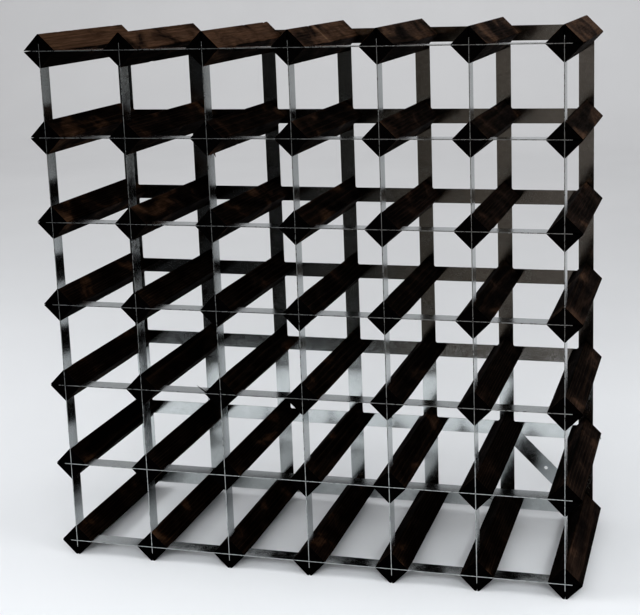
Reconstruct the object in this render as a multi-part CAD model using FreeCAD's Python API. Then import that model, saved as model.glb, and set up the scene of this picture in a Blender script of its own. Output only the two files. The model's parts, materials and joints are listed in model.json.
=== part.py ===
"""Wine rack for 42 bottles, in millimetres, +Z up, front towards -Y.

Forty-nine square wooden bars stand on edge in seven rows and seven columns.
They run from front to back, so that four of them cradle one bottle.
A lattice of thin galvanised strips, pressed edge-on into saw cuts, holds their
front ends, and a second lattice, nailed flat, holds their rear ends.
The origin is at the middle of the rack's outer box, on the floor.
Rows count from 1 at the top and columns from 1 at the left, seen from the front.
"""
import FreeCAD
import Part
import math
import os

# Lattice
PITCH = 96.0                # between neighbouring bars, across and up
ROWS = 7
COLUMNS = 7

# Wooden bars, square and standing on edge
BAR_SIDE = 27.5
BAR_EDGE_RADIUS = 1.5       # rounding of the four long edges
BAR_LENGTH = 212.0
FOOT_WIDTH = 5.0            # flat planed along the bottom row's lowest edge

# Galvanised strips
STRIP_THICKNESS = 1.0
FRONT_STRIP_DEPTH = 19.0    # width of the strips pressed edge-on into the bars
REAR_STRIP_WIDTH = 17.5     # width of the strips nailed flat
STRIP_OVERHANG = 8.0        # past the centre of an outer bar
UPRIGHT_NOTCH = 1.6         # width of an upright's notch, seen as a gap in front
CROSSBAR_NOTCH = 1.2        # width of a crossbar's notch, hidden in the wood

# Corner brace, in the bottom right cell at the back
BRACE_WIDTH = 19.0
BRACE_OVERHANG = 8.1        # past the bars' centres, along the brace
BRACE_HOLE_RADIUS = 2.25    # takes a 4 mm wall screw
BRACE_UPPER_ROW = 6
BRACE_LEFT_COLUMN = 6

# Clout nails through the rear lattice, one at each bar
NAIL_SHANK_RADIUS = 1.3
NAIL_HEAD_RADIUS = 3.25
NAIL_HEAD_THICKNESS = 0.8
NAIL_LENGTH = 25.0          # from under the head to the point
NAIL_POINT_LENGTH = 4.0
NAIL_POINT_RADIUS = 0.15

# Worked out
HALF_DIAGONAL = BAR_SIDE / math.sqrt(2) - BAR_EDGE_RADIUS * (math.sqrt(2) - 1)
FOOT_DROP = BAR_SIDE / math.sqrt(2) - FOOT_WIDTH / 2
TOTAL_DEPTH = BAR_LENGTH + 2 * STRIP_THICKNESS + NAIL_HEAD_THICKNESS
FRONT_Y = -TOTAL_DEPTH / 2
REAR_Y = FRONT_Y + BAR_LENGTH
STRIP_LENGTH = (COLUMNS - 1) * PITCH + 2 * STRIP_OVERHANG
STRIP_LEFT = -STRIP_LENGTH / 2


def column_x(column):
    """Centre of a column of bars."""
    return (column - (COLUMNS + 1) / 2) * PITCH


def row_z(row):
    """Height of the centre of a row of bars."""
    return FOOT_DROP + (ROWS - row) * PITCH


def box(x, y, z, x_size, y_size, z_size):
    """A box with its lowest corner at x, y, z."""
    return Part.makeBox(x_size, y_size, z_size, FreeCAD.Vector(x, y, z))


STRIP_BOTTOM = row_z(ROWS) - STRIP_OVERHANG
STRIP_MIDDLE_Y = FRONT_Y + FRONT_STRIP_DEPTH / 2


def plain_bar(column, row):
    """A square bar on edge with its long edges rounded."""
    x, z = column_x(column), row_z(row)
    half = BAR_SIDE / 2
    bar = box(-half, 0, -half, BAR_SIDE, BAR_LENGTH, BAR_SIDE)
    long_edges = [edge for edge in bar.Edges if abs(edge.tangentAt(edge.FirstParameter).y) > 0.9]
    bar = bar.makeFillet(BAR_EDGE_RADIUS, long_edges)
    bar.rotate(FreeCAD.Vector(0, 0, 0), FreeCAD.Vector(0, 1, 0), 45)
    bar.translate(FreeCAD.Vector(x, FRONT_Y, z))
    return bar


def saw_cuts(column, row):
    """The crossed cuts in a bar's front end that take the two strips."""
    x, z = column_x(column), row_z(row)
    reach = BAR_SIDE
    upright = box(x - STRIP_THICKNESS / 2, FRONT_Y, z - reach,
                  STRIP_THICKNESS, FRONT_STRIP_DEPTH, 2 * reach)
    level = box(x - reach, FRONT_Y, z - STRIP_THICKNESS / 2,
                2 * reach, FRONT_STRIP_DEPTH, STRIP_THICKNESS)
    return upright.fuse(level)


def below_foot(column):
    """The space under the floor line, which a bottom bar is planed back to."""
    return box(column_x(column) - BAR_SIDE, FRONT_Y, -BAR_SIDE, 2 * BAR_SIDE, BAR_LENGTH, BAR_SIDE)


def bar(column, row, brace, nail):
    """A bar with its saw cuts, nail hole and, where it has them, foot and brace seat."""
    shape = plain_bar(column, row).cut(saw_cuts(column, row))
    if row == ROWS:
        shape = shape.cut(below_foot(column))
    if brace_crosses(column, row):
        shape = shape.cut(brace)
    return shape.cut(nail)


def front_upright(column):
    """A strip standing edge-on, notched from its front edge at every row."""
    x = column_x(column)
    strip = box(x - STRIP_THICKNESS / 2, FRONT_Y, STRIP_BOTTOM,
                STRIP_THICKNESS, FRONT_STRIP_DEPTH, STRIP_LENGTH)
    for row in range(1, ROWS + 1):
        notch = box(x - STRIP_THICKNESS, FRONT_Y, row_z(row) - UPRIGHT_NOTCH / 2,
                    2 * STRIP_THICKNESS, FRONT_STRIP_DEPTH / 2, UPRIGHT_NOTCH)
        strip = strip.cut(notch)
    return strip


def front_crossbar(row):
    """A strip lying edge-on, notched from its rear edge at every column."""
    z = row_z(row)
    strip = box(STRIP_LEFT, FRONT_Y, z - STRIP_THICKNESS / 2,
                STRIP_LENGTH, FRONT_STRIP_DEPTH, STRIP_THICKNESS)
    for column in range(1, COLUMNS + 1):
        notch = box(column_x(column) - CROSSBAR_NOTCH / 2, STRIP_MIDDLE_Y, z - STRIP_THICKNESS,
                    CROSSBAR_NOTCH, FRONT_STRIP_DEPTH / 2, 2 * STRIP_THICKNESS)
        strip = strip.cut(notch)
    return strip


def rear_crossbar(row):
    """A flat strip against the bars' rear ends."""
    return box(STRIP_LEFT, REAR_Y, row_z(row) - REAR_STRIP_WIDTH / 2,
               STRIP_LENGTH, STRIP_THICKNESS, REAR_STRIP_WIDTH)


def rear_upright(column):
    """A flat strip over the rear crossbars."""
    return box(column_x(column) - REAR_STRIP_WIDTH / 2, REAR_Y + STRIP_THICKNESS, STRIP_BOTTOM,
               REAR_STRIP_WIDTH, STRIP_THICKNESS, STRIP_LENGTH)


def brace_crosses(column, row):
    """Whether the corner brace is let into this bar's rear end."""
    return (column - BRACE_LEFT_COLUMN, row - BRACE_UPPER_ROW) in ((0, 0), (1, 1))


def corner_brace():
    """A strip falling from left to right, let into two bars, with a screw hole halfway."""
    x = column_x(BRACE_LEFT_COLUMN + 0.5)
    z = row_z(BRACE_UPPER_ROW + 0.5)
    half = PITCH / math.sqrt(2) + BRACE_OVERHANG
    brace = box(-half, 0, -BRACE_WIDTH / 2, 2 * half, STRIP_THICKNESS, BRACE_WIDTH)
    hole = Part.makeCylinder(BRACE_HOLE_RADIUS, 3 * STRIP_THICKNESS,
                             FreeCAD.Vector(0, -STRIP_THICKNESS, 0), FreeCAD.Vector(0, 1, 0))
    brace = brace.cut(hole)
    brace.rotate(FreeCAD.Vector(0, 0, 0), FreeCAD.Vector(0, 1, 0), 45)
    brace.translate(FreeCAD.Vector(x, REAR_Y - STRIP_THICKNESS, z))
    return brace


def rear_nail(column, row):
    """A clout nail with its head against the outer strip and its point in the bar."""
    top = REAR_Y + 2 * STRIP_THICKNESS
    inward = FreeCAD.Vector(0, -1, 0)
    x, z = column_x(column), row_z(row)
    shank_length = NAIL_LENGTH - NAIL_POINT_LENGTH
    head = Part.makeCylinder(NAIL_HEAD_RADIUS, NAIL_HEAD_THICKNESS,
                             FreeCAD.Vector(x, top + NAIL_HEAD_THICKNESS, z), inward)
    shank = Part.makeCylinder(NAIL_SHANK_RADIUS, shank_length, FreeCAD.Vector(x, top, z), inward)
    point = Part.makeCone(NAIL_SHANK_RADIUS, NAIL_POINT_RADIUS, NAIL_POINT_LENGTH,
                          FreeCAD.Vector(x, top - shank_length, z), inward)
    return head.fuse([shank, point]).removeSplitter()


def drilled(strip, nails):
    """A strip with a hole for each nail that goes through it."""
    return strip.cut(nails)


def export(name, solids):
    """One STEP file for a node of one or more solids."""
    shape = solids[0] if len(solids) == 1 else Part.makeCompound(solids)
    shape.exportStep(f"parts/{name}.step")


def main():
    os.makedirs("parts", exist_ok=True)
    rows = range(1, ROWS + 1)
    columns = range(1, COLUMNS + 1)
    nails = {(column, row): rear_nail(column, row) for row in rows for column in columns}
    brace = corner_brace()

    for (column, row), nail in nails.items():
        export(f"bar_row{row}_col{column}", [bar(column, row, brace, nail)])
    export("front_uprights", [front_upright(column) for column in columns])
    export("front_crossbars", [front_crossbar(row) for row in rows])
    export("rear_uprights",
           [drilled(rear_upright(column), [nails[column, row] for row in rows])
            for column in columns])
    export("rear_crossbars",
           [drilled(rear_crossbar(row), [nails[column, row] for column in columns])
            for row in rows])
    export("corner_brace", [drilled(brace, [nail for place, nail in nails.items()
                                            if brace_crosses(*place)])])
    export("rear_nails", list(nails.values()))


main()
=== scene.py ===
"""Wine rack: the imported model's bars, strips and nails rebuilt in detail, with a studio to show them in.

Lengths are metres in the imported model's frame: +X right, +Y to the back, +Z up, floor at 0.
"""
import json
import math
import random

import bmesh
import bpy
from mathutils import Matrix, Vector, noise


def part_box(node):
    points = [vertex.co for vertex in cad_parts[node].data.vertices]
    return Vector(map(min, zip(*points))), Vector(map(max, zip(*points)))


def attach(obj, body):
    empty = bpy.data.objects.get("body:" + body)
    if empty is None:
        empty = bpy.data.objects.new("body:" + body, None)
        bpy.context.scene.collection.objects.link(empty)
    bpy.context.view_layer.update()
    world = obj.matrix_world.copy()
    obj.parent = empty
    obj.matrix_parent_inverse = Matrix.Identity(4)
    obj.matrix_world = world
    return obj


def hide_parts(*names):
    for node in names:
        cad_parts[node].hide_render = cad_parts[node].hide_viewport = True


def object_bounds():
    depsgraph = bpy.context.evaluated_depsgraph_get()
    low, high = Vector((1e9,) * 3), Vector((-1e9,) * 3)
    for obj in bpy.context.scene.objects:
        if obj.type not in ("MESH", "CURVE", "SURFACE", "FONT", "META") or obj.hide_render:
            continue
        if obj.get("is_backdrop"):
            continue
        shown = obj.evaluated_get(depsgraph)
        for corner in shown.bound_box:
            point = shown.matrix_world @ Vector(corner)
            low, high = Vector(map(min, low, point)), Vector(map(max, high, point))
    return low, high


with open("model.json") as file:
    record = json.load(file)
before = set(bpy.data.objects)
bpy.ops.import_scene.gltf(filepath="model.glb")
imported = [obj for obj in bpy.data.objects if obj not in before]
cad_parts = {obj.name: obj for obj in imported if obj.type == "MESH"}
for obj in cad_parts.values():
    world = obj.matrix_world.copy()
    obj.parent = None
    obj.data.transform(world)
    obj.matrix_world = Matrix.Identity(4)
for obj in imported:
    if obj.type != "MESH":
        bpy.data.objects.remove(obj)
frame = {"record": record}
cad_low, cad_high = (Vector(corner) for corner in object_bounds())

BODY = "root"
ROWS = 7
COLUMNS = 7
MM = 0.001

# ---------------------------------------------------------------- places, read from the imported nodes


def bar_name(row, column):
    return f"bar_row{row}_col{column}"


def bar_axis(row, column):
    """Centre of a bar's section. The bottom row is planed below, so heights count from the top."""
    low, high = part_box(bar_name(row, column))
    half = (high[0] - low[0]) / 2
    return (low[0] + high[0]) / 2, high[2] - half


BAR_LOW, BAR_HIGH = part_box(bar_name(1, 1))
BAR_FRONT, BAR_REAR = BAR_LOW[1], BAR_HIGH[1]
HALF_DIAGONAL = (BAR_HIGH[0] - BAR_LOW[0]) / 2
EDGE_RADIUS = 1.5 * MM
BAR_SIDE = (HALF_DIAGONAL + EDGE_RADIUS * (math.sqrt(2) - 1)) * math.sqrt(2)
COLUMN_X = [bar_axis(1, column)[0] for column in range(1, COLUMNS + 1)]
ROW_Z = [bar_axis(row, 1)[1] for row in range(1, ROWS + 1)]

FRONT_LOW, FRONT_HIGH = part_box("front_uprights")
FRONT_DEPTH = FRONT_HIGH[1] - FRONT_LOW[1]
LEVEL_LOW, LEVEL_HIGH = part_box("front_crossbars")
BACK_LOW, BACK_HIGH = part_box("rear_uprights")
BACK_LEVEL_LOW, BACK_LEVEL_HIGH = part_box("rear_crossbars")
THICKNESS = BACK_HIGH[1] - BACK_LOW[1]
BACK_HALF_WIDTH = BACK_HIGH[0] - COLUMN_X[-1]
NAIL_LOW, NAIL_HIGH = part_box("rear_nails")
NAIL_HEAD_RADIUS = NAIL_HIGH[0] - COLUMN_X[-1]
NAIL_SHANK_RADIUS = 1.3 * MM
NAIL_HEAD = NAIL_HIGH[1] - BACK_HIGH[1]
NAIL_POINT_LENGTH = 4 * MM
NAIL_SIDES = 20
BRACE_WIDTH = 19 * MM
HOLE_SIDES = 20

UPRIGHT_NOTCH = 1.6 * MM
CROSSBAR_NOTCH = 1.2 * MM
SHEARED_EDGE = 0.25 * MM    # the uprights' edges are rolled over by the shears
CLEAN_EDGE = 0.09 * MM

# ---------------------------------------------------------------- materials


class Graph:
    """A material's node tree, with a short way to add and link nodes."""

    def __init__(self, name):
        self.material = bpy.data.materials.new(name)
        self.material.use_nodes = True
        self.tree = self.material.node_tree
        self.tree.nodes.clear()
        self.output = self.tree.nodes.new("ShaderNodeOutputMaterial")
        self.shader = self.tree.nodes.new("ShaderNodeBsdfPrincipled")
        self.tree.links.new(self.shader.outputs[0], self.output.inputs["Surface"])

    def put(self, socket, value):
        if isinstance(value, bpy.types.NodeSocket):
            self.tree.links.new(value, socket)
        else:
            socket.default_value = value

    def add(self, kind, inputs=None, **settings):
        """Makes a node and returns it. inputs maps an input's name or number to a value or a socket."""
        made = self.tree.nodes.new(kind)
        for key, value in settings.items():
            setattr(made, key, value)
        for key, value in (inputs or {}).items():
            self.put(made.inputs[key], value)
        return made

    def math(self, operation, a, b=0.0):
        return self.add("ShaderNodeMath", {0: a, 1: b}, operation=operation).outputs[0]

    def scaled(self, vector, x, y, z):
        """A vector stretched on each axis."""
        return self.add("ShaderNodeVectorMath", {0: vector, 1: (x, y, z)}, operation="MULTIPLY").outputs[0]

    def noise(self, vector, scale=1.0, detail=3.0, roughness=0.55, distortion=0.0):
        inputs = {"Vector": vector, "Scale": scale, "Detail": detail, "Roughness": roughness,
                  "Distortion": distortion}
        return self.add("ShaderNodeTexNoise", inputs).outputs[0]

    def ramp(self, value, *stops):
        """A colour ramp; each stop is (position, colour)."""
        made = self.add("ShaderNodeValToRGB", {"Fac": value})
        elements = made.color_ramp.elements
        while len(elements) < len(stops):
            elements.new(0.5)
        for element, (position, colour) in zip(elements, stops):
            element.position = position
            element.color = (*colour, 1.0)
        return made.outputs[0]

    def range(self, value, low, high, to_low, to_high):
        inputs = {"Value": value, 1: low, 2: high, 3: to_low, 4: to_high}
        return self.add("ShaderNodeMapRange", inputs).outputs[0]

    def mix(self, factor, a, b, blend="MIX"):
        made = self.add("ShaderNodeMix", data_type="RGBA", blend_type=blend)
        for index, value in ((0, factor), (6, a), (7, b)):
            if not isinstance(value, bpy.types.NodeSocket) and index != 0:
                value = (*value, 1.0)
            self.put(made.inputs[index], value)
        return made.outputs[2]

    def finish(self, colour, roughness, bump=None, strength=0.3, distance=0.0005):
        self.put(self.shader.inputs["Base Color"], colour)
        self.put(self.shader.inputs["Roughness"], roughness)
        if bump is not None:
            inputs = {"Strength": strength, "Distance": distance, "Height": bump}
            self.put(self.shader.inputs["Normal"], self.add("ShaderNodeBump", inputs).outputs[0])
        return self.material


GRAIN = "grain_place"       # a point's place in the plank that its bar was sawn from
STAIN_AND_PAINTED_LIGHT = "stain_and_painted_light"   # how pale the wood is, from 0, black, to 1, brown, and above, scuffed pale: the stain's thinness, plus painted light on the top row's upper faces
RING_SPACING = 3.1 * MM


def plank_coordinates(graph):
    return graph.add("ShaderNodeAttribute", attribute_name=GRAIN, attribute_type="GEOMETRY").outputs["Vector"]


def growth_rings(graph, place):
    """Rings round a pith line along Y that wanders a little. Returns 0 to 1 across each ring."""
    wander = graph.noise(graph.scaled(place, 26.0, 3.2, 26.0), detail=2.0)
    across = graph.scaled(place, 1.0, 0.0, 1.0)
    radius = graph.add("ShaderNodeVectorMath", {0: across}, operation="LENGTH").outputs["Value"]
    wavy = graph.math("ADD", radius, graph.math("MULTIPLY", wander, 2.2 * RING_SPACING))
    return graph.math("FRACT", graph.math("DIVIDE", wavy, RING_SPACING))


def stained_wood():
    """Dark-stained pine: long grain with late-wood lines, fine fibres, blotches of thin stain, and upper
    faces on the top row turned brown by painted light from above.
    """
    graph = Graph("stained_pine")
    place = plank_coordinates(graph)
    ring = growth_rings(graph, place)
    late = graph.ramp(ring, (0.0, (0.0,) * 3), (0.55, (0.12,) * 3), (0.86, (1.0,) * 3), (1.0, (0.05,) * 3))
    fibres = graph.noise(graph.scaled(place, 1500.0, 45.0, 1500.0), detail=4.0, roughness=0.6)
    streaks = graph.noise(graph.scaled(place, 420.0, 9.0, 420.0), detail=3.0)
    blotches = graph.noise(graph.scaled(place, 34.0, 19.0, 34.0), detail=4.0, roughness=0.55, distortion=0.5)
    # this attribute carries the stain's thinness and the scuff, and on the top row's upper faces painted
    # light from above
    thin = graph.add("ShaderNodeAttribute", attribute_name=STAIN_AND_PAINTED_LIGHT,
                     attribute_type="GEOMETRY").outputs["Fac"]
    deep = (0.0060, 0.0048, 0.0043)
    middle = (0.0165, 0.0112, 0.0090)
    brown = (0.085, 0.0480, 0.0310)
    scuff = (0.19, 0.118, 0.074)
    late_wood = (0.062, 0.037, 0.026)
    patchy = graph.math("ADD", graph.math("MULTIPLY", blotches, 1.1), graph.math("MULTIPLY", thin, 0.50))
    base = graph.ramp(patchy, (0.64, deep), (0.82, middle), (1.0, brown))
    scuffed = graph.mix(graph.range(thin, 1.15, 1.65, 0.0, 1.0), base, scuff)
    grained = graph.mix(graph.math("MULTIPLY", late, 0.30), scuffed, late_wood)
    dark = graph.ramp(fibres, (0.30, (0.50,) * 3), (0.62, (1.12,) * 3))
    streaked = graph.mix(0.85, grained, dark, "MULTIPLY")
    long_dark = graph.ramp(streaks, (0.30, (0.45,) * 3), (0.60, (1.0,) * 3))
    colour = graph.mix(0.8, streaked, long_dark, "MULTIPLY")
    roughness = graph.range(graph.math("ADD", fibres, graph.math("MULTIPLY", blotches, 0.6)),
                            0.5, 1.1, 0.85, 0.62)
    relief = graph.math("ADD", graph.math("MULTIPLY", fibres, 0.7), graph.math("MULTIPLY", late, 0.5))
    graph.shader.inputs["Specular IOR Level"].default_value = 0.03
    return graph.finish(colour, roughness, relief, strength=0.35, distance=0.00035)


def end_grain():
    """Sawn ends, which soak up the stain and come out nearly black, with faint rings and saw marks."""
    graph = Graph("stained_end_grain")
    place = plank_coordinates(graph)
    ring = growth_rings(graph, place)
    late = graph.ramp(ring, (0.0, (0.0,) * 3), (0.6, (0.2,) * 3), (0.88, (1.0,) * 3), (1.0, (0.0,) * 3))
    pores = graph.noise(graph.scaled(place, 2600.0, 2600.0, 2600.0), detail=2.0)
    saw = graph.noise(graph.scaled(place, 160.0, 1.0, 2400.0), detail=2.0)
    black = (0.0027, 0.0026, 0.0028)
    brown = (0.0085, 0.0064, 0.0056)
    base = graph.mix(graph.math("MULTIPLY", late, 0.6), black, brown)
    colour = graph.mix(0.7, base, graph.ramp(pores, (0.35, (0.35,) * 3), (0.6, (1.2,) * 3)), "MULTIPLY")
    roughness = graph.range(pores, 0.3, 0.7, 0.85, 0.65)
    relief = graph.math("ADD", pores, graph.math("MULTIPLY", saw, 0.8))
    graph.shader.inputs["Specular IOR Level"].default_value = 0.02
    return graph.finish(colour, roughness, relief, strength=0.4, distance=0.00025)


def sheared_steel():
    """The strips' cut edges: bare at first, now grey with a little white rust."""
    graph = Graph("sheared_edge")
    place = graph.add("ShaderNodeTexCoord").outputs["Object"]
    rust = graph.noise(place, scale=160.0, detail=3.0)
    colour = graph.ramp(rust, (0.3, (0.34, 0.36, 0.36)), (0.7, (0.52, 0.53, 0.53)))
    graph.shader.inputs["Metallic"].default_value = 0.90
    return graph.finish(colour, graph.range(rust, 0.3, 0.7, 0.22, 0.36))


def galvanised_steel(name, along, tint):
    """Hot-dip galvanised strip: crystal spangle, rolling lines along its length and dull zinc bloom."""
    graph = Graph(name)
    place = graph.add("ShaderNodeTexCoord").outputs["Object"]
    stretch = [900.0, 900.0, 900.0]
    stretch["XYZ".index(along)] = 4.0
    wander = graph.noise(place, scale=300.0, detail=1.0)
    aside = graph.scaled(wander, 0.0012, 0.0012, 0.0012)
    bent = graph.add("ShaderNodeVectorMath", {0: place, 1: aside}, operation="ADD").outputs[0]
    cells = graph.add("ShaderNodeTexVoronoi", {"Vector": bent, "Scale": 250.0, "Randomness": 1.0})
    crystal = graph.add("ShaderNodeSeparateColor", {0: cells.outputs["Color"]}).outputs[0]
    rolled = graph.noise(graph.scaled(place, *stretch), scale=2.0, detail=3.0)
    bloom = graph.noise(place, scale=34.0, detail=5.0, roughness=0.6)
    bright = tuple(min(1.0, 1.06 * channel) for channel in tint)
    dull = tuple(0.92 * channel for channel in tint)
    stained = tuple(0.86 * channel for channel in tint)
    colour = graph.mix(graph.range(bloom, 0.42, 0.75, 0.0, 0.6), graph.mix(crystal, dull, bright), stained)
    shine = graph.math("ADD", graph.math("MULTIPLY", crystal, 0.5), graph.math("MULTIPLY", rolled, 0.5))
    roughness = graph.math("ADD", graph.range(shine, 0.2, 0.8, 0.10, 0.15),
                           graph.range(bloom, 0.3, 0.8, -0.01, 0.04))
    graph.shader.inputs["Metallic"].default_value = 1.0
    return graph.finish(colour, roughness, rolled, strength=0.02, distance=0.00005)


ZINC = (0.60, 0.63, 0.63)
# a darker copy of ZINC: painted shade on the front strips and the corner brace
SHADED_ZINC = (0.44, 0.465, 0.47)
NAIL_ZINC = (0.42, 0.43, 0.42)
WOOD = stained_wood()
END_GRAIN = end_grain()
FRONT_UPRIGHT_STEEL = galvanised_steel("galvanised_front_upright", "Z", SHADED_ZINC)
FRONT_LEVEL_STEEL = galvanised_steel("galvanised_front_level", "X", SHADED_ZINC)
REAR_UPRIGHT_STEEL = galvanised_steel("galvanised_rear_upright", "Z", ZINC)
REAR_LEVEL_STEEL = galvanised_steel("galvanised_rear_level", "X", ZINC)
BRACE_STEEL = galvanised_steel("galvanised_brace", "Y", SHADED_ZINC)
SHEARED_STEEL = sheared_steel()
NAIL_STEEL = galvanised_steel("galvanised_nail", "Y", NAIL_ZINC)

# ---------------------------------------------------------------- pieces


def new_piece(name, mesh, materials, slot, *nodes):
    """An object from a mesh, riding on the rack and standing for its CAD nodes."""
    piece = bpy.data.objects.new(name, mesh)
    bpy.context.scene.collection.objects.link(piece)
    for material in materials:
        if material.name not in mesh.materials:
            mesh.materials.append(material)
    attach(piece, BODY)
    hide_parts(*nodes)
    return piece


def smooth(mesh, degrees=32.0):
    for polygon in mesh.polygons:
        polygon.use_smooth = True
    mesh.set_sharp_from_angle(angle=math.radians(degrees))


def to_mesh(name, shape):
    bmesh.ops.recalc_face_normals(shape, faces=shape.faces)
    mesh = bpy.data.meshes.new(name)
    shape.to_mesh(mesh)
    shape.free()
    return mesh


# ---------------------------------------------------------------- bars

# How pale the wood is: by column on the top row's upper faces, where it is painted light from above, and by
# row everywhere else
TOP_ROW_PAINTED_LIGHT = (1.10, 0.72, 0.76, 0.74, 0.52, 0.66, 0.74)
ROW_PALENESS = (0.30, 0.46, 0.40, 0.26, 0.22, 0.26, 0.26)
SCUFFED_BAR = (1, 4)        # a pale scuff runs across this bar's top faces
SCUFF_AT = 86 * MM          # from its front end
SCUFF_HALF_WIDTH = 4.5 * MM
SCUFF_SLANT = 0.35
SCUFF_PALENESS = 0.9
SECTION_ARC_STEPS = 4
TOP_RIDGE = 1               # ridges are counted from the right one, turning upwards
RIDGE_SPREAD = 0.16         # how far round the section, in radians, a ridge's damage reaches

# Torn fibres that stand out in the photo: bar, where across its section in half diagonals, how far
# behind the front end, which way the fibre points, its length and its width
TEARS = (
    ((5, 3), (-0.96, 0.03), 3 * MM, (-1.0, 0.0, 0.60), 15.0 * MM, 2.3 * MM),
    ((5, 3), (-0.92, 0.05), 5 * MM, (-0.7, -0.3, 0.75), 6.5 * MM, 1.4 * MM),
    ((2, 3), (0.08, -0.90), 15 * MM, (0.5, 0.3, -1.0), 5.6 * MM, 2.6 * MM),
    ((2, 3), (0.02, -0.94), 9 * MM, (-0.2, 0.5, -1.0), 4.0 * MM, 1.8 * MM),
    ((6, 6), (0.86, -0.10), 2 * MM, (1.0, 0.2, 0.30), 8.0 * MM, 1.9 * MM),
    ((6, 6), (0.70, -0.26), 4 * MM, (0.8, 0.3, -0.5), 6.5 * MM, 1.6 * MM),
    ((6, 7), (0.90, -0.08), 207 * MM, (0.5, -0.2, -1.0), 5.5 * MM, 1.8 * MM),
    ((5, 5), (0.10, -0.90), 10 * MM, (0.5, 0.4, -1.0), 4.2 * MM, 1.7 * MM),
    ((3, 5), (-0.95, 0.00), 6 * MM, (-1.0, 0.2, 0.2), 4.0 * MM, 1.5 * MM),
)
# Chips broken out of top ridges: bar, how far behind the front end, how deep
CHIPS = (((1, 3), 201 * MM, 1.9 * MM), ((1, 4), 74 * MM, 1.1 * MM), ((1, 7), 205 * MM, 1.3 * MM))
CHIP_HALF_LENGTH = 3.2 * MM
SIDE_SHARES = (0.012, 0.2, 0.4, 0.6, 0.8, 0.988)
STATION_GAP = 5.3 * MM
END_CHAMFER = 0.18 * MM


def section_points():
    """The square section on edge, as (x, z) from its centre, with rounded corners."""
    points = []
    reach = (BAR_SIDE / 2 - EDGE_RADIUS) * math.sqrt(2)
    for corner in range(4):
        towards = math.radians(90.0 * corner)
        centre = Vector((reach * math.cos(towards), reach * math.sin(towards)))
        arc = [centre + EDGE_RADIUS * Vector((math.cos(towards + turn), math.sin(towards + turn)))
               for turn in (math.radians(-45.0 + 90.0 * step / SECTION_ARC_STEPS)
                            for step in range(SECTION_ARC_STEPS + 1))]
        points.extend(arc)
        onward = math.radians(90.0 * (corner + 1))
        following = Vector((reach * math.cos(onward), reach * math.sin(onward)))
        start = arc[-1]
        facing = onward - math.pi / 4
        end = following + EDGE_RADIUS * Vector((math.cos(facing), math.sin(facing)))
        points.extend(start.lerp(end, share) for share in SIDE_SHARES)
    return points


SECTION = section_points()


def stations():
    """Places along a bar, closer together at the chamfered ends."""
    inner_front, inner_rear = BAR_FRONT + END_CHAMFER, BAR_REAR - END_CHAMFER
    count = round((inner_rear - inner_front) / STATION_GAP)
    between = [inner_front + (inner_rear - inner_front) * step / count for step in range(count + 1)]
    return [BAR_FRONT, *between, BAR_REAR]


def nick_depth(seed, y, corner):
    """How far a ridge is bruised at a place: mostly nothing, here and there a few tenths."""
    value = noise.noise(Vector((seed * 7.3, y * 95.0, corner * 4.1)))
    return max(0.0, value - 0.38) * 1.6 * MM


def chip_depth(row, column, y):
    """How deep the bar's top ridge is chipped at a place."""
    return sum(depth * max(0.0, 1.0 - abs(y - BAR_FRONT - at) / CHIP_HALF_LENGTH)
               for bar, at, depth in CHIPS if bar == (row, column))


def bar_shape(row, column, x, z, seed):
    """The bar's skin: gently uneven sides, bruised ridges and slightly rounded ends."""
    shape = bmesh.new()
    rings = []
    for y in stations():
        at_end = y in (BAR_FRONT, BAR_REAR)
        ring = []
        for point in SECTION:
            angle = math.atan2(point.y, point.x)
            corner = round(angle / (math.pi / 2)) % 4
            off_ridge = abs(angle - round(angle / (math.pi / 2)) * (math.pi / 2))
            ridge = max(0.0, 1.0 - off_ridge / RIDGE_SPREAD)
            planed = 0.5 + 0.5 * noise.noise(Vector((point.x * 60.0 + seed, y * 14.0, point.y * 60.0)))
            inward = 0.10 * MM * planed + ridge * nick_depth(seed, y, corner)
            if corner == TOP_RIDGE:
                inward += ridge * chip_depth(row, column, y)
            if at_end:
                inward += END_CHAMFER
            place = point * (1.0 - inward / point.length)
            ring.append(shape.verts.new((x + place.x, y, z + place.y)))
        rings.append(ring)
    count = len(SECTION)
    for ring, following in zip(rings, rings[1:]):
        for index in range(count):
            after = (index + 1) % count
            shape.faces.new((ring[index], following[index], following[after], ring[after]))
    for ring in (rings[0], list(reversed(rings[-1]))):
        cap = shape.faces.new(ring)
        cap.material_index = 1
    return shape


def add_box(shape, low, high, material_index=1):
    made = bmesh.ops.create_cube(shape, size=1.0)["verts"]
    low, high = Vector(low), Vector(high)
    middle, size = (low + high) / 2, high - low
    for vertex in made:
        vertex.co = Vector(a * b for a, b in zip(vertex.co, size)) + middle
    for face in {face for vertex in made for face in vertex.link_faces}:
        face.material_index = material_index


def cutter(name, x, z, planed):
    """What is taken out of a bar: the crossed saw cuts and, on the bottom row, the wood under the floor."""
    shape = bmesh.new()
    reach = 1.4 * HALF_DIAGONAL
    front = BAR_FRONT - 2 * MM
    depth = BAR_FRONT + FRONT_DEPTH
    half = THICKNESS / 2 + 0.02 * MM
    add_box(shape, (x - half, front, z - reach), (x + half, depth, z + reach))
    level = bmesh.new()
    add_box(level, (x - reach, front, z - half), (x + reach, depth, z + half))
    pieces = [to_mesh(name + "_a", shape), to_mesh(name + "_b", level)]
    if planed:
        under = bmesh.new()
        add_box(under, (x - reach, BAR_FRONT - 5 * MM, -reach), (x + reach, BAR_REAR + 5 * MM, cad_low.z), 0)
        pieces.append(to_mesh(name + "_c", under))
    return pieces


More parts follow.
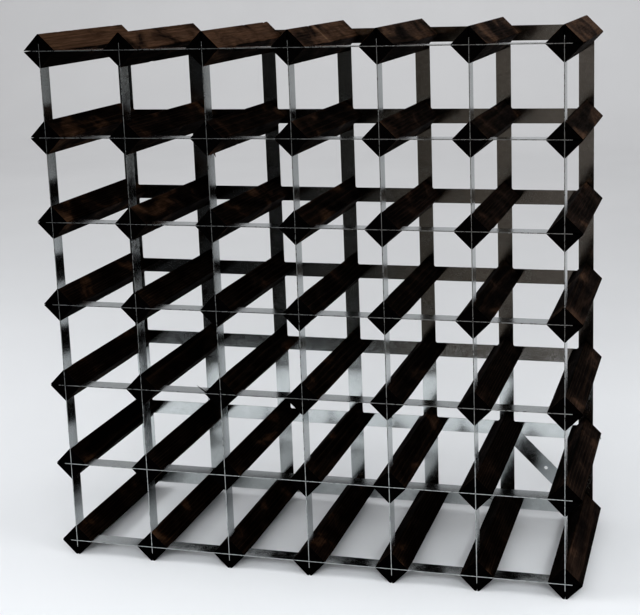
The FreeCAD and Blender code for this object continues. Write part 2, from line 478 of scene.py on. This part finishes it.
def carve(mesh, cutters):
    """The mesh with each cutter taken out of it."""
    scene = bpy.context.scene
    bar = bpy.data.objects.new("carved", mesh)
    scene.collection.objects.link(bar)
    for carved in (mesh, *cutters):
        carved.materials.append(WOOD)
        carved.materials.append(END_GRAIN)
    tools = []
    for tool_mesh in cutters:
        tool = bpy.data.objects.new("tool", tool_mesh)
        scene.collection.objects.link(tool)
        tools.append(tool)
        cut = bar.modifiers.new("cut", "BOOLEAN")
        cut.operation = "DIFFERENCE"
        cut.solver = "EXACT"
        cut.object = tool
    bpy.context.view_layer.update()
    evaluated = bar.evaluated_get(bpy.context.evaluated_depsgraph_get())
    result = bpy.data.meshes.new_from_object(evaluated)
    for thing in (bar, *tools):
        old = thing.data
        bpy.data.objects.remove(thing)
        bpy.data.meshes.remove(old)
    return result


def add_splinter(shape, root, direction, length, width, rng):
    """A thin torn fibre: a three-sided spike that bends towards its tip."""
    direction = direction.normalized()
    side = direction.orthogonal().normalized()
    other = direction.cross(side)
    bend = Vector((rng.uniform(-1, 1), rng.uniform(-1, 1), rng.uniform(-1, 1))) * 0.25 * length
    rings = []
    for step, girth in ((0.0, 1.0), (0.45, 0.7), (0.8, 0.35)):
        centre = root + direction * (length * step) + bend * step * step
        ring = []
        for turn in range(3):
            angle = 2 * math.pi * turn / 3
            offset = side * math.cos(angle) + other * 0.55 * math.sin(angle)
            ring.append(shape.verts.new(centre + offset * width * girth / 2))
        rings.append(ring)
    tip = shape.verts.new(root + direction * length + bend)
    for ring, following in zip(rings, rings[1:]):
        for turn in range(3):
            after = (turn + 1) % 3
            shape.faces.new((ring[turn], ring[after], following[after], following[turn]))
    shape.faces.new(list(reversed(rings[0])))
    for turn in range(3):
        shape.faces.new((rings[-1][turn], rings[-1][(turn + 1) % 3], tip))


def fray(shape, x, z, rng):
    """Torn fibres where the saw left the wood, beside both ends of the two cuts."""
    for outward in (Vector((0, 0, 1)), Vector((1, 0, 0)), Vector((-1, 0, 0)), Vector((0, 0, -1))):
        for _ in range(rng.choice((0, 0, 0, 1, 1, 2))):
            along = rng.uniform(0.5, FRONT_DEPTH / MM) * MM
            sideways = Vector((outward.z, 0, outward.x)) * rng.choice((-1, 1)) * rng.uniform(0.55, 0.9) * MM
            root = Vector((x, BAR_FRONT + along, z)) + outward * (HALF_DIAGONAL - 0.8 * MM) + sideways
            lean = outward * rng.uniform(0.3, 0.9) + Vector((0, rng.uniform(-1.0, 1.0), 0))
            lean += sideways / MM * 0.4
            add_splinter(shape, root, lean, rng.uniform(1.2, 3.2) * MM, rng.uniform(0.25, 0.6) * MM, rng)


def tear(shape, row, column, x, z, rng):
    """This bar's own torn fibres, with their feet inside the wood."""
    for bar, across, behind, towards, length, width in TEARS:
        if bar == (row, column):
            root = Vector((x + across[0] * HALF_DIAGONAL, BAR_FRONT + behind, z + across[1] * HALF_DIAGONAL))
            add_splinter(shape, root, Vector(towards), length, width, rng)


def keep_inside(mesh):
    """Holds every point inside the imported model's box."""
    for vertex in mesh.vertices:
        for axis in range(3):
            vertex.co[axis] = min(max(vertex.co[axis], cad_low[axis]), cad_high[axis])


def grain_attribute(mesh, x, z, rng):
    """Gives each point its place in a plank, turned to the bar's faces and set at random round the pith."""
    turn = Matrix.Rotation(math.radians(45.0 + 90.0 * rng.randrange(4)), 3, "Y")
    around = rng.uniform(0, 2 * math.pi)
    pith = rng.uniform(16.0, 60.0) * MM
    offset = Vector((pith * math.cos(around), rng.uniform(0.0, 40.0), pith * math.sin(around)))
    flip = rng.choice((-1.0, 1.0))
    attribute = mesh.attributes.new(GRAIN, "FLOAT_VECTOR", "POINT")
    centre = Vector((x, 0, z))
    for vertex, item in zip(mesh.vertices, attribute.data):
        place = turn @ (vertex.co - centre)
        item.vector = Vector((place.x, flip * place.y, place.z)) + offset


def stain_and_light_attribute(mesh, row, column, rng):
    """Writes how pale the wood is: brown from painted light on the top row's upper faces, pale at one scuff,
    dark elsewhere.
    """
    # each row's paleness from the table, and a little at random per bar
    thin = ROW_PALENESS[row - 1] + rng.uniform(-0.08, 0.08)
    painted_top_light = TOP_ROW_PAINTED_LIGHT[column - 1] if row == 1 else thin
    attribute = mesh.attributes.new(STAIN_AND_PAINTED_LIGHT, "FLOAT", "POINT")
    for vertex, item in zip(mesh.vertices, attribute.data):
        # upward spreads the painted top light and the scuff over the faces that point up
        upward = min(max(0.5 + vertex.normal.z, 0.0), 1.0)
        item.value = thin + (painted_top_light - thin) * upward
        if (row, column) == SCUFFED_BAR:
            off_middle = vertex.co.x - COLUMN_X[column - 1]
            off_scuff = vertex.co.y - BAR_FRONT - SCUFF_AT - SCUFF_SLANT * off_middle
            item.value += SCUFF_PALENESS * upward * math.exp(-(off_scuff / SCUFF_HALF_WIDTH) ** 2)


def make_bar(row, column):
    name = bar_name(row, column)
    x, z = bar_axis(row, column)
    seed = row * 10 + column
    rng = random.Random(4200 + seed)
    skin = to_mesh(name, bar_shape(row, column, x, z, seed))
    mesh = carve(skin, cutter(name, x, z, planed=row == ROWS))
    shape = bmesh.new()
    shape.from_mesh(mesh)
    fray(shape, x, z, rng)
    tear(shape, row, column, x, z, rng)
    shape.to_mesh(mesh)
    shape.free()
    keep_inside(mesh)
    grain_attribute(mesh, x, z, rng)
    stain_and_light_attribute(mesh, row, column, rng)
    smooth(mesh)
    return new_piece(name + "_detail", mesh, (WOOD, END_GRAIN), "stained_wood", name)


# ---------------------------------------------------------------- strips


def plate(name, outline, holes, thickness, place, edge=CLEAN_EDGE):
    """A flat plate from an outline and round holes in its own plane, with softened edges.

    outline is (u, v) points, a hole is (u, v, radius), and place turns (u, v, depth) into the frame.
    """
    loops = [[Vector((u, v, 0.0)) for u, v in outline]]
    for u, v, radius in holes:
        turns = [2 * math.pi * step / HOLE_SIDES for step in range(HOLE_SIDES)]
        loops.append([Vector((u + radius * math.cos(t), v - radius * math.sin(t), 0.0)) for t in turns])
    shape = bmesh.new()
    flat = [point for loop in loops for point in loop]
    bottom = [shape.verts.new(point) for point in flat]
    edges = []
    start = 0
    for loop in loops:
        count = len(loop)
        edges += [shape.edges.new((bottom[start + i], bottom[start + (i + 1) % count])) for i in range(count)]
        start += count
    bmesh.ops.triangle_fill(shape, use_beauty=True, use_dissolve=False, edges=edges)
    bmesh.ops.dissolve_limit(shape, angle_limit=0.01, verts=shape.verts, edges=shape.edges)
    made = bmesh.ops.extrude_face_region(shape, geom=shape.faces[:])
    raised = [item for item in made["geom"] if isinstance(item, bmesh.types.BMVert)]
    bmesh.ops.translate(shape, verts=raised, vec=(0.0, 0.0, thickness))
    bmesh.ops.recalc_face_normals(shape, faces=shape.faces)
    sharp = [side for side in shape.edges if side.calc_face_angle(0.0) > math.radians(60.0)]
    bmesh.ops.bevel(shape, geom=sharp, offset=edge, segments=3, profile=0.5, affect="EDGES")
    shape.normal_update()
    for face in shape.faces:
        face.material_index = 0 if abs(face.normal.z) > 0.95 else 1
    for vertex in shape.verts:
        vertex.co = Vector(place(*vertex.co))
    return to_mesh(name, shape)


def notched(start, end, near, far, centres, notch, notch_to):
    """A strip's outline, from start to end and near to far, with a notch at each centre in its near edge."""
    points = [(start, near)]
    for centre in centres:
        points += [(centre - notch / 2, near), (centre - notch / 2, notch_to),
                   (centre + notch / 2, notch_to), (centre + notch / 2, near)]
    return points + [(end, near), (end, far), (start, far)]


def make_front_strips():
    """The edge-on strips in the saw cuts, halved over each other at every crossing."""
    front, rear = FRONT_LOW[1], FRONT_HIGH[1]
    middle = (front + rear) / 2
    for number, x in enumerate(COLUMN_X, 1):
        outline = notched(FRONT_LOW[2], FRONT_HIGH[2], front, rear, sorted(ROW_Z), UPRIGHT_NOTCH, middle)
        mesh = plate(f"front_upright_{number}", outline, (), THICKNESS,
                     lambda u, v, w, x=x: (x - THICKNESS / 2 + w, v, u), SHEARED_EDGE)
        new_piece(f"front_upright_{number}", mesh, (FRONT_UPRIGHT_STEEL, SHEARED_STEEL), "galvanised_steel",
                  "front_uprights")
    for number, z in enumerate(ROW_Z, 1):
        outline = notched(LEVEL_LOW[0], LEVEL_HIGH[0], rear, front, COLUMN_X, CROSSBAR_NOTCH, middle)
        mesh = plate(f"front_crossbar_{number}", outline, (), THICKNESS,
                     lambda u, v, w, z=z: (u, v, z - THICKNESS / 2 + w))
        new_piece(f"front_crossbar_{number}", mesh, (FRONT_LEVEL_STEEL, SHEARED_STEEL), "galvanised_steel",
                  "front_crossbars")


def make_rear_strips():
    """The flat strips nailed across the rear ends."""
    half = BACK_HALF_WIDTH
    for number, x in enumerate(COLUMN_X, 1):
        outline = ((x - half, BACK_LOW[2]), (x + half, BACK_LOW[2]), (x + half, BACK_HIGH[2]),
                   (x - half, BACK_HIGH[2]))
        mesh = plate(f"rear_upright_{number}", outline, [(x, z, NAIL_SHANK_RADIUS) for z in ROW_Z],
                     THICKNESS, lambda u, v, w: (u, BACK_LOW[1] + w, v))
        new_piece(f"rear_upright_{number}", mesh, (REAR_UPRIGHT_STEEL, SHEARED_STEEL), "galvanised_steel",
                  "rear_uprights")
    for number, z in enumerate(ROW_Z, 1):
        outline = ((BACK_LEVEL_LOW[0], z - half), (BACK_LEVEL_HIGH[0], z - half),
                   (BACK_LEVEL_HIGH[0], z + half), (BACK_LEVEL_LOW[0], z + half))
        mesh = plate(f"rear_crossbar_{number}", outline, [(x, z, NAIL_SHANK_RADIUS) for x in COLUMN_X],
                     THICKNESS, lambda u, v, w: (u, BACK_LEVEL_LOW[1] + w, v))
        new_piece(f"rear_crossbar_{number}", mesh, (REAR_LEVEL_STEEL, SHEARED_STEEL), "galvanised_steel",
                  "rear_crossbars")


def make_brace():
    """The corner brace: a strip at 45 degrees with a screw hole at its middle and a nail hole at each end."""
    low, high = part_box("corner_brace")
    hole = next(m for m in frame["record"]["mounts"] if m["name"] == "wall_screw_hole")
    centre_x, _, centre_z = hole["pos_m"]
    length = (high[0] - low[0]) * math.sqrt(2) - BRACE_WIDTH
    nail_at = math.hypot(COLUMN_X[-1] - centre_x, ROW_Z[-1] - centre_z)
    outline = ((-length / 2, -BRACE_WIDTH / 2), (length / 2, -BRACE_WIDTH / 2),
               (length / 2, BRACE_WIDTH / 2), (-length / 2, BRACE_WIDTH / 2))
    holes = ((0.0, 0.0, hole["dims"]["r_mm"] * MM), (-nail_at, 0.0, NAIL_SHANK_RADIUS),
             (nail_at, 0.0, NAIL_SHANK_RADIUS))
    turn = math.sqrt(0.5)
    mesh = plate("corner_brace", outline, holes, high[1] - low[1],
                 lambda u, v, w: (centre_x + (u + v) * turn, low[1] + w, centre_z + (v - u) * turn))
    new_piece("corner_brace_strip", mesh, (BRACE_STEEL, SHEARED_STEEL), "galvanised_steel", "corner_brace")


def make_nails():
    """Clout nails, driven flush: a slightly domed, hammer-dented head on a round shank."""
    rng = random.Random(77)
    shape = bmesh.new()
    face = BACK_HIGH[1]
    profile = ((0.0, NAIL_HEAD - 0.06 * MM), (0.45, NAIL_HEAD - 0.06 * MM), (0.80, NAIL_HEAD - 0.16 * MM),
               (0.97, NAIL_HEAD - 0.34 * MM), (1.0, 0.22 * MM), (0.94, 0.0))
    for x in COLUMN_X:
        for z in ROW_Z:
            dent = Vector((rng.uniform(-1, 1), 0, rng.uniform(-1, 1))) * 0.06 * MM / NAIL_HEAD_RADIUS
            add_nail(shape, Vector((x, face, z)), profile, dent)
    mesh = to_mesh("rear_nails", shape)
    smooth(mesh, 40.0)
    new_piece("clout_nails", mesh, (NAIL_STEEL,), "nail_steel", "rear_nails")


def add_nail(shape, base, profile, dent):
    """One nail turned from its head's profile, then the shank and the point, as one closed skin."""
    shank_end = NAIL_LOW[1] - base.y
    shank = NAIL_SHANK_RADIUS / NAIL_HEAD_RADIUS
    full = (*profile[1:], (shank, 0.0), (shank, shank_end + NAIL_POINT_LENGTH))
    rings = []
    for share, height in full:
        ring = []
        for step in range(NAIL_SIDES):
            angle = 2 * math.pi * step / NAIL_SIDES
            across = Vector((math.cos(angle), 0, math.sin(angle))) * share * NAIL_HEAD_RADIUS
            lift = height + (dent.dot(across) if height > 0.3 * MM else 0.0)
            ring.append(shape.verts.new(base + across + Vector((0, lift, 0))))
        rings.append(ring)
    top = shape.verts.new(base + Vector((0, profile[0][1], 0)))
    tip = shape.verts.new(base + Vector((0, shank_end, 0)))
    for ring, following in zip(rings, rings[1:]):
        for step in range(NAIL_SIDES):
            after = (step + 1) % NAIL_SIDES
            shape.faces.new((ring[step], ring[after], following[after], following[step]))
    for step in range(NAIL_SIDES):
        after = (step + 1) % NAIL_SIDES
        shape.faces.new((top, rings[0][after], rings[0][step]))
        shape.faces.new((rings[-1][step], rings[-1][after], tip))


# ---------------------------------------------------------------- studio

TOE = 0.010                 # light levels under about this are let down towards black
TONE_STEPS = (0.004, 0.008, 0.012, 0.016, 0.024, 0.032, 0.048, 0.08, 0.16, 0.4)


def make_floor():
    """A plain pale floor that rises into a plain backdrop well behind the rack."""
    graph = Graph("studio_paper")
    place = graph.add("ShaderNodeTexCoord").outputs["Object"]
    mottle = graph.noise(place, scale=2.0, detail=2.0)
    colour = graph.ramp(mottle, (0.3, (0.760, 0.768, 0.785)), (0.7, (0.790, 0.798, 0.815)))
    material = graph.finish(colour, 0.9)
    shape = bmesh.new()
    half_width, front, bend, radius, top = 12.0, -12.0, 3.2, 1.5, 6.0
    profile = [(front, 0.0), (bend, 0.0)]
    profile += [(bend + radius * math.sin(a), radius * (1 - math.cos(a)))
                for a in (math.radians(90.0 * step / 16) for step in range(1, 17))]
    profile.append((bend + radius, top))
    left = [shape.verts.new((-half_width, y, z)) for y, z in profile]
    right = [shape.verts.new((half_width, y, z)) for y, z in profile]
    for index in range(len(profile) - 1):
        shape.faces.new((left[index], right[index], right[index + 1], left[index + 1]))
    mesh = to_mesh("floor", shape)
    for polygon in mesh.polygons:
        polygon.use_smooth = True
    mesh.materials.append(material)
    floor = bpy.data.objects.new("floor", mesh)
    bpy.context.scene.collection.objects.link(floor)
    floor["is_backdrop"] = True


def make_camera():
    """The camera, in front of the rack, to its right and a little above its top."""
    data = bpy.data.cameras.new("camera")
    data.sensor_width = 36.0
    data.lens = 74.694
    data.shift_x, data.shift_y = -0.0713, -0.1122
    data.clip_end = 100.0
    camera = bpy.data.objects.new("camera", data)
    bpy.context.scene.collection.objects.link(camera)
    right = Vector((0.96515, 0.25993, -0.03052)).normalized()
    forward = Vector((-0.26074, 0.94492, -0.19784))
    forward = (forward - right * forward.dot(right)).normalized()
    up = right.cross(forward)
    camera.rotation_mode = "QUATERNION"
    camera.rotation_quaternion = Matrix((right, up, -forward)).transposed().to_quaternion()
    camera.location = (0.44458, BAR_FRONT - 1.32738, ROW_Z[3] + 0.36724)
    bpy.context.scene.camera = camera


def make_light(name, place, target, size, power, colour, spread=180.0):
    """A soft box that lights things without showing in their reflections."""
    data = bpy.data.lights.new(name, "AREA")
    data.shape = "RECTANGLE"
    data.size, data.size_y = size
    data.energy = power
    data.color = colour
    data.spread = math.radians(spread)
    lamp = bpy.data.objects.new(name, data)
    bpy.context.scene.collection.objects.link(lamp)
    lamp.visible_camera = False
    lamp.visible_glossy = False
    lamp.location = place
    lamp.rotation_mode = "QUATERNION"
    lamp.rotation_quaternion = (Vector(target) - Vector(place)).to_track_quat("-Z", "Y")


def make_screen(name, corners, shades):
    """A screen that only shiny surfaces see, for the unlit parts of the studio.

    shades are (place, colour): the screen's own left edge is at place 0, and its right edge at 1.
    """
    shape = bmesh.new()
    shape.faces.new([shape.verts.new(corner) for corner in corners])
    mesh = to_mesh(name, shape)
    graph = Graph(name)
    place = graph.add("ShaderNodeTexCoord").outputs["Generated"]
    along = graph.add("ShaderNodeSeparateXYZ", {0: place}).outputs[0 if corners[0][0] != corners[1][0] else 1]
    graph.put(graph.shader.inputs["Emission Color"], graph.ramp(along, *shades))
    graph.shader.inputs["Emission Strength"].default_value = 1.0
    mesh.materials.append(graph.finish((0.01, 0.01, 0.01, 1.0), 0.9))
    screen = bpy.data.objects.new(name, mesh)
    bpy.context.scene.collection.objects.link(screen)
    screen.visible_camera = False
    screen.visible_diffuse = False
    screen.visible_shadow = False
    screen.visible_transmission = False
    screen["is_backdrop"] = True


def make_lights():
    """Soft boxes round the rack, a wash on the backdrop, two screens and the room."""
    cool = (0.95, 0.98, 1.0)
    plain = (1.0, 0.985, 0.97)
    make_light("front", (0.3, -1.6, 1.0), (0.0, 0.0, 0.0), (1.6, 0.5), 7.5, cool, 100.0)
    make_light("front_high", (0.9, -2.6, 1.8), (0.0, -0.1, 0.0), (1.4, 1.0), 10.0, cool)
    make_light("left", (-2.0, -0.5, 1.9), (0.05, 0.0, 0.1), (1.5, 1.5), 29.0, cool)
    make_light("right", (2.0, -0.5, 1.6), (0.0, 0.0, 0.1), (1.5, 1.5), 18.0, cool)
    make_light("left_floor", (-0.95, 0.1, 0.9), (-0.95, 0.1, 0.0), (0.5, 0.9), 1.4, cool)
    make_light("right_floor", (0.85, 0.3, 0.9), (0.85, 0.3, 0.0), (0.5, 0.9), 1.9, cool)
    make_light("backdrop_wash", (-1.4, 2.0, 2.7), (-1.4, 4.3, 0.9), (5.0, 0.8), 29.0, plain)
    front, side = -0.47, 1.2
    make_screen("front_screen", ((-1, front, 0), (1, front, 0), (1, front, 3), (-1, front, 3)),
                ((0.33, (0.010, 0.009, 0.009)), (0.43, (0.026, 0.024, 0.022)), (0.50, (0.080, 0.066, 0.055)),
                 (0.61, (0.115, 0.096, 0.084)), (0.8, (0.12, 0.102, 0.09))))
    make_screen("side_screen", ((side, -1.6, 0), (side, 3.4, 0), (side, 3.4, 3), (side, -1.6, 3)),
                ((0.0, (0.3, 0.3, 0.3)), (0.28, (0.6, 0.6, 0.6)), (0.38, (0.24, 0.24, 0.24)),
                 (0.8, (0.24, 0.24, 0.24)), (1.0, (0.5, 0.5, 0.5))))
    make_room()


def make_room():
    """The room's own light: it fills the shadows, and looks grey to the camera and dark in reflections."""
    world = bpy.data.worlds.new("room")
    world.use_nodes = True
    tree = world.node_tree
    path = tree.nodes.new("ShaderNodeLightPath")
    reflected = tree.nodes["Background"]
    reflected.inputs["Color"].default_value = (0.80, 0.84, 0.90, 1.0)
    reflected.inputs["Strength"].default_value = 0.03
    so_far = reflected.outputs[0]
    for ray, colour, strength in (("Is Diffuse Ray", (1.0, 0.99, 0.985), 0.43),
                                  ("Is Camera Ray", (0.36, 0.36, 0.36), 1.0)):
        seen = tree.nodes.new("ShaderNodeBackground")
        seen.inputs["Color"].default_value = (*colour, 1.0)
        seen.inputs["Strength"].default_value = strength
        mix = tree.nodes.new("ShaderNodeMixShader")
        tree.links.new(path.outputs[ray], mix.inputs[0])
        tree.links.new(so_far, mix.inputs[1])
        tree.links.new(seen.outputs[0], mix.inputs[2])
        so_far = mix.outputs[0]
    tree.links.new(so_far, tree.nodes["World Output"].inputs["Surface"])
    bpy.context.scene.world = world


def set_tones():
    """Plain tones, with the deepest shadows let down smoothly towards black, as a camera does."""
    view = bpy.context.scene.view_settings
    view.view_transform = "Standard"
    view.use_curve_mapping = True
    tones = view.curve_mapping
    tones.tone = "FILMLIKE"
    curve = tones.curves[3]
    for light in TONE_STEPS:
        point = curve.points.new(light, light ** 3 / (light + TOE) ** 2)
        point.handle_type = "VECTOR"
    tones.update()


set_tones()
make_camera()
make_floor()
make_lights()
for row in range(1, ROWS + 1):
    for column in range(1, COLUMNS + 1):
        make_bar(row, column)
make_front_strips()
make_rear_strips()
make_brace()
make_nails()
